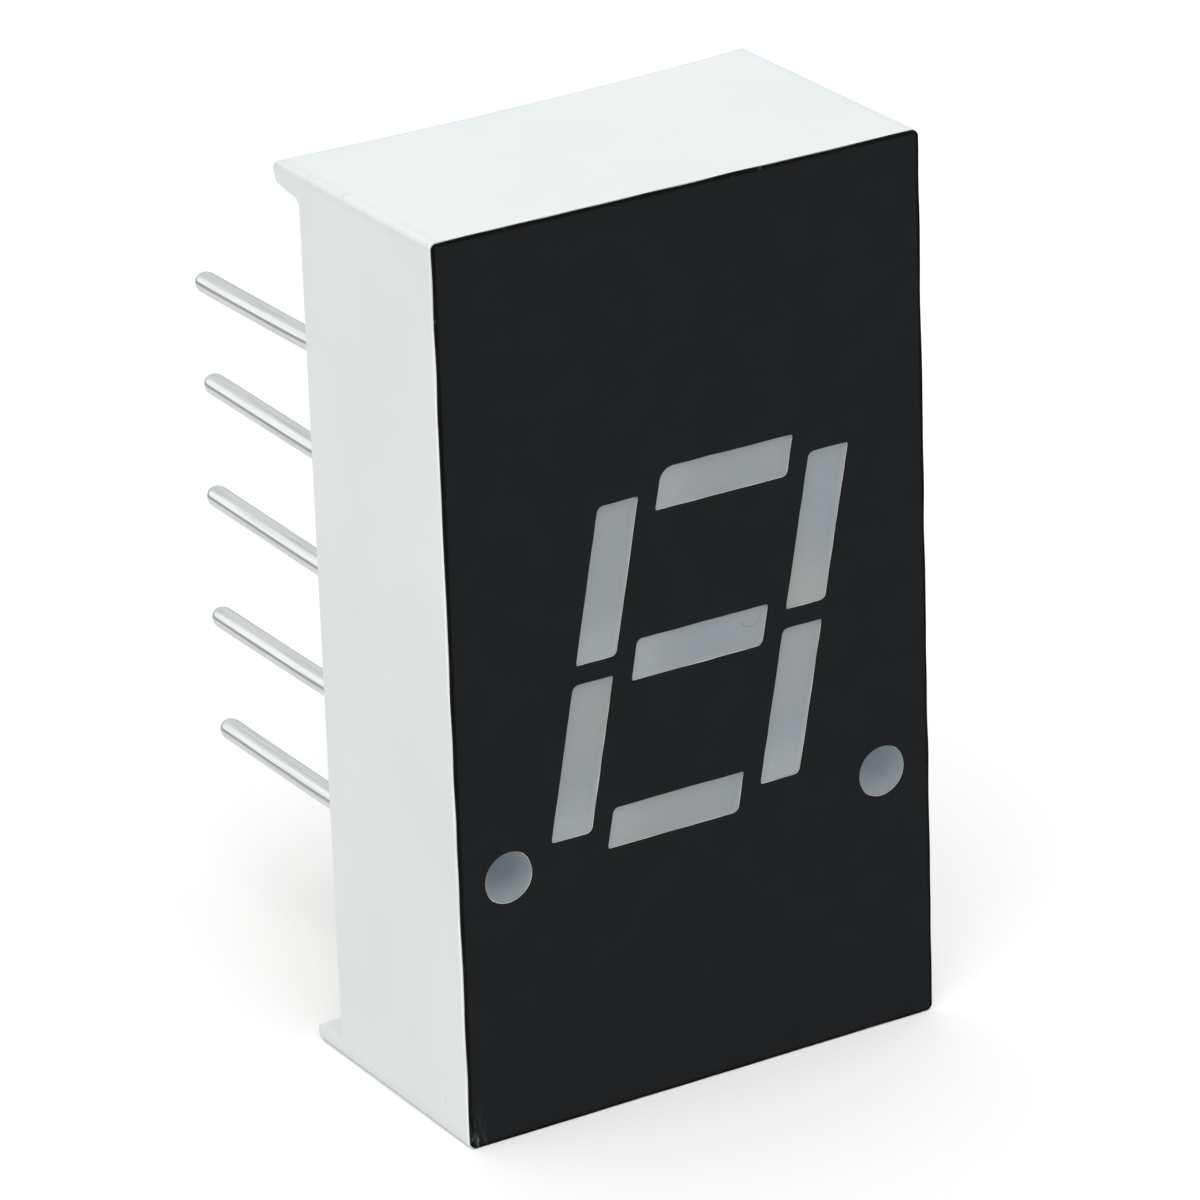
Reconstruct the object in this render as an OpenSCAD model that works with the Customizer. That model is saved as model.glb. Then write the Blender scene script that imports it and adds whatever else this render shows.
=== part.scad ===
// Single-digit seven segment display with two decimal points.
// X runs across the digit, Z up the digit, and Y from the face to the pins.
// The origin is the centre of the pin field, on the plane where the end rails seat on a board.

/* [Housing] */
// Width across the face
body_w = 11; // [10.6:0.05:14]
// Height of the face, along the digit
body_h = 19.05; // [15.8:0.05:24]
// Depth from the face to the backs of the end rails
body_d = 6.1; // [5.4:0.05:8]
// How far the end rails stand behind the side walls
rail_stand = 0.97; // [0.5:0.01:1.6]
// Thickness of an end rail at its back
rail_t = 0.45; // [0.3:0.01:0.7]
// Thickness of the side walls round the board
side_wall = 0.5; // [0.35:0.01:0.7]
// Thickness of the end walls round the board
end_wall = 0.8; // [0.6:0.01:1.2]
// Radius of the corners of the face
corner_r = 0.12; // [0.05:0.01:0.3]
// Radius of the outer back edge of the rails
rail_r = 0.22; // [0.05:0.01:0.28]

/* [Face mask] */
// Thickness of the black layer
mask_t = 0.06; // [0.03:0.01:0.2]
// White rim left between a window's edge and the epoxy
mask_gap = 0.02; // [0.01:0.01:0.1]

/* [Digit] */
// Height of the digit over its top and bottom bars
digit_h = 7.73; // [6.8:0.01:8.6]
// Distance between the middle lines of the left and right posts
digit_w = 4.86; // [4.2:0.02:5.2]
// Lean of the digit to the right, in degrees
slant = 11; // [0:0.5:12]
// Sideways place of the digit's middle
digit_x = 0.18; // [-0.3:0.01:0.3]
// Height of the digit's middle over the middle of the face
digit_z = -0.025; // [-0.1:0.005:0.1]
// Thickness of the level bars a, g and d
bar_t = 0.85; // [0.6:0.01:1.1]
// Thickness of the upright bars b, c, e and f
post_t = 0.92; // [0.6:0.02:1.1]
// Sideways gap between a level bar and its posts
bar_gap = 0.435; // [0.25:0.005:0.7]
// Gap between an upper and a lower post
post_gap = 0.4; // [0.2:0.01:0.6]
// How far a post ends short of the middle line of the top or bottom bar
post_short = 0.035; // [0:0.005:0.1]
// Radius of the sharper corners of every bar
bar_r = 0.07; // [0.03:0.01:0.15]
// Radius of the blunter corners of every bar
bar_blunt_r = 0.13; // [0.03:0.01:0.2]
// Radius of the cut corner of bar a, at its top left
bar_cut_r = 0.3; // [0.1:0.01:0.4]
// Diameter of a decimal point
point_d = 1.08; // [0.9:0.02:1.2]
// Distance of a decimal point from the middle of the body
point_x = 4.37; // [4.2:0.01:4.4]

/* [Light cavities] */
// Depth of the reflector behind the mask
reflector_d = 3.24; // [2.6:0.02:3.6]
// Length of a cavity at the board
cup_l = 1.5; // [1.3:0.02:1.6]
// Width of a cavity at the board
cup_w = 0.66; // [0.56:0.01:0.7]
// Diameter of a decimal point's cavity at the board
point_cup_d = 0.84; // [0.76:0.01:0.9]

/* [Pins] */
// Diameter of a pin
pin_d = 0.5; // [0.4:0.02:0.6]
// Distance between pins along a row
pin_pitch = 2.54; // [2.54, 2.5]
// Distance between the two rows
row_gap = 7.62; // [7.6:0.01:7.64]
// How far the pins stand out behind the rails
pin_out = 6.7; // [3:0.05:12]
// Length of the rounded tip of a pin
tip_l = 0.3; // [0.1:0.02:0.5]
// Extra diameter of a pin at its head, tapering out at the potting
pin_swell = 0.06; // [0.02:0.01:0.1]
// How far the nail head of a pin overlaps its plated hole
head_rim = 0.06; // [0.04:0.01:0.1]
// Thickness of the nail head
head_t = 0.15; // [0.08:0.01:0.2]

/* [Board] */
// Thickness of the circuit board
board_t = 0.8; // [0.6:0.05:1]
// Clearance round the board in its pocket
board_gap = 0.05; // [0.02:0.01:0.15]
// Gap between the reflector and the bare board
seat_gap = 0.05; // [0.04:0.01:0.1]
// Thickness of the copper
copper_t = 0.035; // [0.02:0.005:0.04]
// Width of a track
track_w = 0.2; // [0.12:0.01:0.26]
// Diameter of the copper ring at a pin
ring_d = 1.2; // [1.16:0.02:1.26]
// Height of a solder fillet
solder_h = 0.42; // [0.2:0.01:0.5]
// How far the potting stays below the side walls
potting_drop = 0.04; // [0.02:0.01:0.1]
// Diameter of the locating pegs
peg_d = 0.9; // [0.6:0.02:1]
// Clearance round a peg in the board
peg_gap = 0.05; // [0.02:0.01:0.1]

/* [Chips] */
// Side of a light emitting chip
chip_w = 0.28; // [0.2:0.01:0.3]
// Height of a chip
chip_h = 0.2; // [0.12:0.01:0.26]
// Distance from the middle of a bar's cavity to its chip, and to its bond pad
die_step = 0.3; // [0.26:0.01:0.4]
// Clearance between a chip's corner and the round wall of a point's cavity
chip_gap = 0.03; // [0.01:0.01:0.05]
// Diameter of a bond wire
wire_d = 0.03; // [0.025:0.005:0.04]
// Height of a bond wire's loop over its two ends
wire_loop = 0.25; // [0.2:0.01:0.35]

/* [Hidden] */
$fn = 48;
LETTERS = ["a", "b", "c", "d", "e", "f", "g"];
POINTS = ["left", "right"];
LIGHTS = concat(LETTERS, POINTS);
PIN_COUNT = 10;
ROW_COUNT = 5;

// Planes along Y, from the face to the pin tips
face_y = -body_d + mask_t;
seat_y = -body_d + mask_t + reflector_d;
board_front_y = seat_y + seat_gap;
board_back_y = board_front_y + board_t;
copper_front_y = board_front_y - copper_t;
copper_back_y = board_back_y + copper_t;
side_back_y = -rail_stand;
potting_y = side_back_y - potting_drop;
over = 0.2;                     // how far a cut runs past the face it opens through
arc_steps = 5;                  // straight pieces in a rounded corner
curve_steps = 8;                // straight pieces in the profile of a tip or a fillet

// Pocket for the board, behind the reflector
pocket_w = body_w - 2 * side_wall;
pocket_h = body_h - 2 * end_wall;
pocket_r = 0.2;
board_w = pocket_w - 2 * board_gap;
board_h = pocket_h - 2 * board_gap;
rail_draft = 0.07;              // how much thicker a rail is at its root

// Digit layout
lean = tan(slant);
bar_z = (digit_h - bar_t) / 2;
post_x = digit_w / 2;
post_level_t = post_t / cos(slant);
bar_l = digit_w - post_level_t - 2 * bar_gap;
post_h = bar_z - post_short - post_gap / 2;
post_z = (bar_z - post_short + post_gap / 2) / 2;
point_z = digit_z - digit_h / 2;

// Pins, plated holes and solder joints
shank_d = pin_d + pin_swell;    // under the head
solder_gap = 0.13;              // solder between a pin and its plated hole
barrel_t = 0.03;                // plating in the hole
barrel_d = shank_d + 2 * solder_gap;
hole_d = barrel_d + 2 * barrel_t;
head_d = barrel_d + 2 * head_rim;
fillet_d = ring_d - 0.1;        // the fillet's foot, inside the ring's edge
fillet_edge = 0.02;             // its thickness where it ends on the pin

// Pockets of the reflector that clear the pin heads
head_gap = 0.06;
head_room = 0.15;
head_pocket_d = head_d + 2 * head_gap;
head_pocket_y = copper_front_y - head_t - head_room;

// Cored pockets above and below the pin field, and the locating pegs on the ribs between them
core_front_wall = 0.9;
core_wall = 0.4;                // left round a cored pocket
peg_rib = 0.35;                 // left beside a peg
core_z0 = (ROW_COUNT - 1) / 2 * pin_pitch + head_pocket_d / 2 + core_wall;
core_z1 = pocket_h / 2 - core_wall;
core_x0 = peg_d / 2 + peg_rib;
core_x1 = pocket_w / 2 - core_wall;
peg_z = (core_z0 + core_z1) / 2;
peg_stand = 0.25;               // how far a peg stands out of the board's back
peg_chamfer = 0.1;

// Pads and tracks
pad_rim = 0.07;                 // copper left showing round a chip
die_pad_w = chip_w + 2 * pad_rim;
bond_pad_w = 0.24;
point_step = sqrt(pow(point_cup_d / 2 - chip_gap, 2) - pow(chip_w / 2, 2)) - chip_w / 2;
lead_step = 0.4;                // shortest level stretch of a lead
bus_step = 0.9;                 // from the top and bottom bars out to the common track
bus_lead = 0.7;                 // first stretch of that track from a point's chip

// Bond wire
ball_d = 0.09;
ball_h = 0.04;

// ---- functions ----

function letter_row(k) = k == "a" || k == "b" || k == "f" ? 1 : k == "g" ? 0 : -1;
function letter_side(k) = k == "b" || k == "c" ? 1 : k == "e" || k == "f" ? -1 : 0;
function is_point(k) = k == "left" || k == "right";
function point_side(k) = k == "left" ? -1 : 1;

// A place on the upright digit, moved by the digit's lean
function leant(x, z) = [digit_x + x + lean * z, digit_z + z];

// Middle of a light at the face, and at the board, where it stays clear of the pin heads
function face_at(k) =
    is_point(k) ? [point_side(k) * point_x, point_z] :
    letter_side(k) == 0 ? leant(0, letter_row(k) * bar_z) :
    leant(letter_side(k) * post_x, letter_row(k) * post_z);
function cup_at(k) =
    is_point(k) ? [point_side(k) * point_x, -1.5 * pin_pitch] :
    letter_side(k) == 0 ? face_at(k) :
    leant(letter_side(k) * post_x, letter_row(k) * pin_pitch / 2);

// Direction from a chip to its bond pad, in degrees from +X towards +Z
function bond_turn(k) =
    is_point(k) ? -90 :
    letter_side(k) == 0 ? (k == "d" ? 180 : 0) :
    letter_row(k) * 90 - slant;
function bond_way(k) = [cos(bond_turn(k)), sin(bond_turn(k))];
function half_span(k) = is_point(k) ? point_step : die_step;
function die_at(k) = cup_at(k) - half_span(k) * bond_way(k);
function bond_at(k) = cup_at(k) + half_span(k) * bond_way(k);

// Pins 1 to 5 run down the left row, and 6 to 10 up the right row
function pin_at(n) = n <= ROW_COUNT ?
    [-row_gap / 2, ((ROW_COUNT + 1) / 2 - n) * pin_pitch] :
    [row_gap / 2, (n - ROW_COUNT - (ROW_COUNT + 1) / 2) * pin_pitch];

// Radius of a pin inside the display
function shank_r(y) = pin_d / 2 + pin_swell / 2 * (potting_y - y) / (potting_y - copper_front_y);

// Points of an arc, both ends included
function arc(at, r, from, to) =
    [for (i = [0:arc_steps]) let (t = from + (to - from) * i / arc_steps) at + r * [cos(t), sin(t)]];

// Outline of a leaning bar with rounded corners; w is measured level, and r is one radius or four,
// from the top right corner round to the bottom right
CORNERS = [[1, 1], [-1, 1], [-1, -1], [1, -1]];
function corner_turn(i, a) = [90 * i - (i % 2 == 0 ? a : 0), 90 * (i + 1) - (i % 2 == 0 ? 0 : a)];
function bar_outline(w, h, r, at = [0, 0], a = slant) = [
    for (i = [0:3])
        let (
            q = is_list(r) ? r[i] : r,
            up = CORNERS[i].y * (h / 2 - q),
            out = CORNERS[i].x * (w / 2 - q / cos(a)),
            turn = corner_turn(i, a)
        )
        each arc(at + [out + up * tan(a), up], q, turn[0], turn[1])
];
function bar_radii(k, grow) =
    [for (q = [bar_r, k == "a" ? bar_cut_r : bar_blunt_r, bar_r, bar_blunt_r]) q + grow];
function round_outline(d, at) =
    [for (i = [0:$fn - 1]) at + d / 2 * [cos(360 * i / $fn), sin(360 * i / $fn)]];

// Outline of a light at the face and at the board, with the same number of points
function face_outline(k, grow = 0) =
    is_point(k) ? round_outline(point_d + 2 * grow, face_at(k)) :
    bar_outline(
        (letter_side(k) == 0 ? bar_l : post_level_t) + 2 * grow / cos(slant),
        (letter_side(k) == 0 ? bar_t : post_h) + 2 * grow,
        bar_radii(k, grow), face_at(k)
    );
function cup_outline(k) =
    is_point(k) ? round_outline(point_cup_d, cup_at(k)) :
    bar_outline(
        letter_side(k) == 0 ? cup_l : cup_w,
        letter_side(k) == 0 ? cup_w : cup_l,
        bar_r, cup_at(k)
    );
function between(a, b, t) = [for (i = [0:len(a) - 1]) a[i] + (b[i] - a[i]) * t];

// Track routes: each runs level, then slants into its pin, at 45 degrees where there is room
function lead_in(p, q) =
    let (d = q - p, w = min(abs(d.x), abs(d.y)))
    abs(d.y) < track_w ? [p, q] :
    abs(d.x) - w < track_w ? [p, [p.x + sign(d.x) * lead_step, p.y], q] :
    [p, [q.x - sign(d.x) * w, p.y], q];
function point_lead(p, q) = [p, [p.x, q.y + abs(p.x - q.x)], q];
function point_bus(k) =
    let (p = die_at(k), s = point_side(k), low = -(bar_z + bus_step))
    [p, [p.x - s * bus_lead, p.y], [p.x - s * (bus_lead + p.y - low), low]];
LEADS = [["a", 10], ["b", 9], ["c", 7], ["d", 4], ["e", 3], ["f", 2], ["g", 8]];

// Outline of a track of width w along a path, with mitred corners
function unit(v) = v / norm(v);
function left_of(v) = [-v.y, v.x];
function mitre(path, i, w) =
    let (
        n = len(path) - 1,
        before = left_of(unit(path[max(i, 1)] - path[max(i, 1) - 1])),
        after = left_of(unit(path[min(i, n - 1) + 1] - path[min(i, n - 1)])),
        out = unit(before + after)
    )
    out * w / 2 / (out * before);
function track_outline(path, w) =
    let (n = len(path) - 1)
    concat(
        [for (i = [0:n]) path[i] - mitre(path, i, w)],
        [for (i = [n:-1:0]) path[i] + mitre(path, i, w)]
    );
function backwards(v) = [for (i = [len(v) - 1:-1:0]) v[i]];

// ---- shared shapes ----

// A flat outline in X and Z, made thick from y0 to y1
module thick(y0, y1) {
    translate([0, y1, 0]) rotate([90, 0, 0]) linear_extrude(y1 - y0) children();
}

// A straight-sided solid between an outline at y0 and one with as many points at y1
module loft(a, y0, b, y1) {
    n = len(a);
    polyhedron(
        points = concat([for (p = a) [p.x, y0, p.y]], [for (p = b) [p.x, y1, p.y]]),
        faces = concat(
            [[for (i = [0:n - 1]) n - 1 - i], [for (i = [0:n - 1]) n + i]],
            [for (i = [0:n - 1]) let (j = (i + 1) % n) [i, j, j + n, i + n]]
        )
    );
}

// A round solid about an axis along Y, from radius and Y pairs
module turned(profile, at = [0, 0]) {
    translate([at.x, 0, at.y]) rotate([-90, 0, 0]) rotate_extrude() polygon(profile);
}

module disc(d, y0, y1, at = [0, 0]) {
    translate([at.x, y0, at.y]) rotate([-90, 0, 0]) cylinder(d = d, h = y1 - y0);
}

module for_pins() {
    for (n = [1:PIN_COUNT]) translate([pin_at(n).x, 0, pin_at(n).y]) children();
}

// ---- housing ----

// Side view of the housing, with Y to the right and Z up: the rails stand behind the side walls
module side_profile() {
    h = body_h / 2;
    polygon(concat(
        [[face_y, h], [face_y, -h]],
        arc([-rail_r, -h + rail_r], rail_r, 270, 360),
        [[0, -h + rail_t], [side_back_y, -h + rail_t + rail_draft]],
        [[side_back_y, h - rail_t - rail_draft], [0, h - rail_t]],
        arc([-rail_r, h - rail_r], rail_r, 0, 90)
    ));
}

module light_cavity(k) {
    run = copper_front_y - face_y;
    t = over / run;
    a = face_outline(k);
    b = cup_outline(k);
    loft(between(a, b, -t), face_y - over, between(a, b, 1 + t), copper_front_y + over);
}

module core_pocket(x_side, z_side) {
    w = core_x1 - core_x0;
    h = core_z1 - core_z0;
    thick(face_y + core_front_wall, seat_y + over)
        polygon(bar_outline(
            w, h, pocket_r,
            [x_side * (core_x0 + w / 2), z_side * (core_z0 + h / 2)], 0
        ));
}

module peg(z_side) {
    y1 = board_back_y + peg_stand;
    turned([
        [0, seat_y - over], [peg_d / 2, seat_y - over], [peg_d / 2, y1 - peg_chamfer],
        [peg_d / 2 - peg_chamfer, y1], [0, y1]
    ], [0, z_side * peg_z]);
}

module reflector_housing() color("#e3e8e7") {
    difference() {
        intersection() {
            translate([-body_w / 2, 0, 0]) rotate([90, 0, 90]) linear_extrude(body_w) side_profile();
            thick(face_y, 0) polygon(bar_outline(body_w, body_h, corner_r, [0, 0], 0));
        }
        thick(seat_y, over) polygon(bar_outline(pocket_w, pocket_h, pocket_r, [0, 0], 0));
        for (k = LIGHTS) light_cavity(k);
        for_pins() disc(head_pocket_d, head_pocket_y, seat_y + over);
        for (x_side = [-1, 1], z_side = [-1, 1]) core_pocket(x_side, z_side);
    }
    for (z_side = [-1, 1]) peg(z_side);
}

module face_mask() color("#232526") {
    difference() {
        thick(-body_d, face_y) polygon(bar_outline(body_w, body_h, corner_r, [0, 0], 0));
        for (k = LETTERS) thick(-body_d - over, face_y + over) polygon(face_outline(k, mask_gap));
        for (k = POINTS) disc(point_d + 2 * mask_gap, -body_d - over, face_y + over, face_at(k));
    }
}

// ---- lights ----

// Cast epoxy that fills a cavity and holds its chip and wire
module light(k) color("#a0a5a7") {
    difference() {
        loft(face_outline(k), face_y, cup_outline(k), copper_front_y);
        chip_shape(k);
        wire_shape(k);
    }
}

// The board frame of one light: its chip at the origin, its bond pad along +X
module at_die(k) {
    p = die_at(k);
    translate([p.x, copper_front_y, p.y]) rotate([0, -bond_turn(k), 0]) children();
}

module chip_shape(k) {
    at_die(k) translate([-chip_w / 2, -chip_h, -chip_w / 2]) cube([chip_w, chip_h, chip_w]);
}

// A ball on the chip, a loop that is part of a circle, and a stitch on the bond pad
module wire_shape(k) {
    span = 2 * half_span(k);
    from = [0, chip_h + ball_h / 2];
    to = [span, ball_h / 2];
    chord = norm(to - from);
    r = (chord * chord / 4 + wire_loop * wire_loop) / (2 * wire_loop);
    up = [from.y - to.y, span] / chord;
    c = (from + to) / 2 - (r - wire_loop) * up;
    a0 = atan2(to.y - c.y, to.x - c.x);
    a1 = atan2(from.y - c.y, from.x - c.x);
    at_die(k) {
        translate([0, -chip_h - ball_h, 0]) rotate([-90, 0, 0]) cylinder(d = ball_d, h = ball_h);
        translate([span, -ball_h, 0]) rotate([-90, 0, 0]) cylinder(d = ball_d, h = ball_h);
        translate([c.x, -c.y, 0]) rotate([0, 0, -a1])
            rotate_extrude(angle = a1 - a0) translate([r, 0]) circle(d = wire_d);
    }
}

module chip(k) color("#c9a24a") chip_shape(k);

module wire(k) color("#e0b040") wire_shape(k);

// ---- board ----

module circuit_board() color("#c8c39a") {
    difference() {
        thick(board_front_y, board_back_y)
            polygon(bar_outline(board_w, board_h, pocket_r - board_gap, [0, 0], 0));
        for_pins() disc(hole_d, board_front_y - over, board_back_y + over);
        for (z_side = [-1, 1])
            disc(peg_d + 2 * peg_gap, board_front_y - over, board_back_y + over, [0, z_side * peg_z]);
    }
}

module route(path) {
    thick(copper_front_y, board_front_y) polygon(track_outline(path, track_w));
}

module pad(k, at, w) {
    translate([at.x, copper_front_y, at.y]) rotate([0, -bond_turn(k), 0])
        translate([-w / 2, 0, -w / 2]) cube([w, copper_t, w]);
}

// The spine and its branches join the undersides of all the chips to pin 1
module common_net() {
    out = [0, bus_step];
    route(concat(
        backwards(lead_in(die_at("a") + out, pin_at(1))),
        [die_at("a"), die_at("g"), die_at("d"), die_at("d") - out]
    ));
    route(concat(point_bus("left"), backwards(point_bus("right"))));
    route([die_at("f"), die_at("b")]);
    route([die_at("e"), die_at("c")]);
}

module board_copper() color("#c58b4a") {
    difference() {
        union() {
            common_net();
            for (l = LEADS) route(lead_in(bond_at(l[0]), pin_at(l[1])));
            route(point_lead(bond_at("left"), pin_at(5)));
            route(point_lead(bond_at("right"), pin_at(6)));
            for (k = LIGHTS) {
                pad(k, die_at(k), die_pad_w);
                pad(k, bond_at(k), bond_pad_w);
            }
            for_pins() disc(ring_d, copper_front_y, board_front_y);
            for_pins() disc(ring_d, board_back_y, copper_back_y);
            for_pins() disc(hole_d, copper_front_y, copper_back_y);
        }
        for_pins() disc(barrel_d, copper_front_y - over, copper_back_y + over);
    }
}

// ---- pins ----

module pin(n) color("#d3d5d4") {
    r = pin_d / 2;
    tip_y = pin_out - tip_l;
    turned(concat(
        [
            [0, copper_front_y - head_t], [head_d / 2, copper_front_y - head_t],
            [head_d / 2, copper_front_y], [shank_d / 2, copper_front_y], [r, potting_y]
        ],
        [for (i = [0:curve_steps - 1])
            let (t = 90 * i / curve_steps) [r * cos(t), tip_y + tip_l * sin(t)]],
        [[0, pin_out]]
    ), pin_at(n));
}

// Concave fillet from the copper ring up to the pin
fillet_y = copper_back_y + solder_h;
function fillet() =
    let (foot = fillet_d / 2, run = foot - shank_r(fillet_y) - fillet_edge)
    [for (i = [0:curve_steps])
        let (t = 90 * i / curve_steps)
        [foot - run * sin(t), copper_back_y + solder_h * (1 - cos(t))]];

module solder(n) color("#b9bcbd") {
    turned(concat(
        [[shank_d / 2, copper_front_y], [barrel_d / 2, copper_front_y], [barrel_d / 2, copper_back_y]],
        fillet(),
        [[shank_r(fillet_y), fillet_y]]
    ), pin_at(n));
}

module back_potting() color("#cfd0c8") {
    difference() {
        thick(board_back_y, potting_y) polygon(bar_outline(pocket_w, pocket_h, pocket_r, [0, 0], 0));
        for_pins() turned(concat(
            [[0, board_back_y - over], [ring_d / 2, board_back_y - over], [ring_d / 2, copper_back_y]],
            fillet(),
            [
                [shank_r(fillet_y), fillet_y], [shank_r(potting_y), potting_y],
                [shank_r(potting_y), potting_y + over], [0, potting_y + over]
            ]
        ));
        for (z_side = [-1, 1]) peg(z_side);
    }
}

// ---- drawing ----

reflector_housing();
face_mask();
circuit_board();
board_copper();
back_potting();
for (k = LETTERS) light(k);
for (k = POINTS) light(k);
for (k = LIGHTS) chip(k);
for (k = LIGHTS) wire(k);
for (n = [1:PIN_COUNT]) pin(n);
for (n = [1:PIN_COUNT]) solder(n);
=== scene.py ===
import math

import bmesh
import bpy
from mathutils import Matrix, Vector, noise


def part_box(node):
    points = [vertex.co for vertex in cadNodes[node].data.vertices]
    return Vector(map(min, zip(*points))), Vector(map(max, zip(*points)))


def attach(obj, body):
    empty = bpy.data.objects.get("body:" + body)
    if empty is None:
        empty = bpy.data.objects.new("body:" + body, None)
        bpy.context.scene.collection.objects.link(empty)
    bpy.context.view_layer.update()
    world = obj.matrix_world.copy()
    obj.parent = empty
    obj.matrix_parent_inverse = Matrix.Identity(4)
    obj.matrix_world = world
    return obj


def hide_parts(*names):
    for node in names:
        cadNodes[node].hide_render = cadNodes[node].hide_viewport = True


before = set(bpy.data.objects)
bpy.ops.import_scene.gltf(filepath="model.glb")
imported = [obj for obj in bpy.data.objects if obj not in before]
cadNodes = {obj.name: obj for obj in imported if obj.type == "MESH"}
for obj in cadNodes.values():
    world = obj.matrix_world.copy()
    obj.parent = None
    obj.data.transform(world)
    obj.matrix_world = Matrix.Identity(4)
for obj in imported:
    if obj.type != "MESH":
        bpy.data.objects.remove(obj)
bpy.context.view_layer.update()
mm = 0.001
weld = 1e-4 * mm               # corners closer than this are one corner
sliver = 3e-4 * mm             # no finished piece has an edge shorter than this
hair = 0.001 * mm              # what lies nearer than this to a plane is in it
flatDegrees = 0.4              # faces that turn less than this from each other are one face
squareShare = 0.99999          # the least share along one axis of a normal that is square to it
scene = bpy.context.scene
print("frame loaded with", len(cadNodes), "CAD nodes")

# What the boxes of the housing and the potting give every other piece
bodyLow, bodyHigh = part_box("reflector_housing")
halfWidth, halfHeight = bodyHigh.x, bodyHigh.z
facePlane = bodyLow.y          # front of the white housing, behind the black layer
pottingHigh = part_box("back_potting")[1]
backPlane = pottingHigh.y      # back of the potting and of the walls round it
pocketHalf = pottingHigh.z
lights = ["segment_" + k for k in "abcdefg"] + ["point_left", "point_right"]
lean = math.tan(math.radians(11))     # the digit leans by 11 degrees


def linearColour(hexText):
    shares = [int(hexText[i:i + 2], 16) / 255 for i in (1, 3, 5)]
    return [c / 12.92 if c <= 0.04045 else ((c + 0.055) / 1.055) ** 2.4 for c in shares] + [1.0]


def addNode(tree, kind, settings=None, inputs=None, links=None):
    node = tree.nodes.new(kind)
    for name, value in (settings or {}).items():
        setattr(node, name, value)
    for key, value in (inputs or {}).items():
        node.inputs[key].default_value = value
    for key, source in (links or {}).items():
        tree.links.new(source, node.inputs[key])
    return node


def startFinish(name, **surface):
    finish = bpy.data.materials.new(name)
    finish.use_nodes = True
    tree = finish.node_tree
    tree.nodes.clear()
    shader = addNode(tree, "ShaderNodeBsdfPrincipled",
                     inputs={k.replace("_", " "): v for k, v in surface.items()})
    addNode(tree, "ShaderNodeOutputMaterial", links={"Surface": shader.outputs["BSDF"]})
    place = addNode(tree, "ShaderNodeTexCoord").outputs["Object"]
    return finish, tree, shader, place


# A pattern's repeat in millimetres, as a texture's scale in metres
def perMetre(sizeMm):
    return 1 / (sizeMm * mm)


# How far a place lies inside the housing's two sides and inside its two ends
def fromSides(tree, place):
    part = addNode(tree, "ShaderNodeSeparateXYZ", links={"Vector": place})
    inward = []
    for axis, half in (("X", halfWidth), ("Z", halfHeight)):
        size = addNode(tree, "ShaderNodeMath", {"operation": "ABSOLUTE"}, None, {0: part.outputs[axis]})
        inside = addNode(tree, "ShaderNodeMath", {"operation": "SUBTRACT"}, {0: half}, {1: size.outputs[0]})
        inward.append(inside.outputs[0])
    return inward


# Two colours of one stuff that drift into each other, and the drift itself
def driftTint(tree, place, sizeMm, dark, light, detail=2.0):
    drift = addNode(tree, "ShaderNodeTexNoise", None, {"Scale": perMetre(sizeMm), "Detail": detail},
                    {"Vector": place})
    tint = addNode(tree, "ShaderNodeMix", {"data_type": "RGBA"},
                   {6: linearColour(dark), 7: linearColour(light)}, {0: drift.outputs["Fac"]})
    return tint.outputs[2], drift.outputs["Fac"]


# The fine relief that a mould, a print or a pour leaves on a surface
def grainSurface(tree, shader, place, sizeMm, depthMm, strength=0.5, detail=2.0):
    grain = addNode(tree, "ShaderNodeTexNoise", None, {"Scale": perMetre(sizeMm), "Detail": detail},
                    {"Vector": place})
    bump = addNode(tree, "ShaderNodeBump", None, {"Strength": strength, "Distance": depthMm * mm},
                   {"Height": grain.outputs["Fac"]})
    tree.links.new(bump.outputs["Normal"], shader.inputs["Normal"])


# White polycarbonate, moulded against a spark-eroded tool: an even satin white with faint cloudy
# flow marks down the walls, a specky grain, and a painted highlight, a paler line along the thin
# front edge. The grain is 0.03 mm, and is drawn 0.09 mm to show.
whiteWall = {
    "cloudDark": "#E1E6E6", "cloudLight": "#E8EDEC", "cloudMm": 3.5, "cloudFrom": 0.3, "cloudTo": 0.7,
    "flowMm": 1.1, "flowShare": 0.25, "flowSqueeze": 0.12,
    "speckMm": 1.9, "speckColour": "#C9CDCD", "speckRadius": 0.016, "speckFadeRadius": 0.0256,
    "grainMm": 0.09, "grainDepthMm": 0.004, "roughness": 0.46,
    # the front edge's highlight is painted: its colour, width, fade, share on the top and unevenness
    "paintedHighlightColour": "#FBFCFC", "highlightMm": 0.045, "highlightFadeMm": 0.03, "highlightTopShare": 0.2,
    "highlightUnevenMm": 1.3, "highlightUnevenFrom": 0.35, "highlightUnevenTo": 0.55, "highlightLeast": 0.35,
    "grimeColour": "#C2C7C8", "grimeReachMm": 0.3, "grimeShare": 0.5,
    "grimeMm": 0.2, "grimeFrom": 0.54, "grimeTo": 0.7, "grimeEven": 0.4,
}


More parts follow.
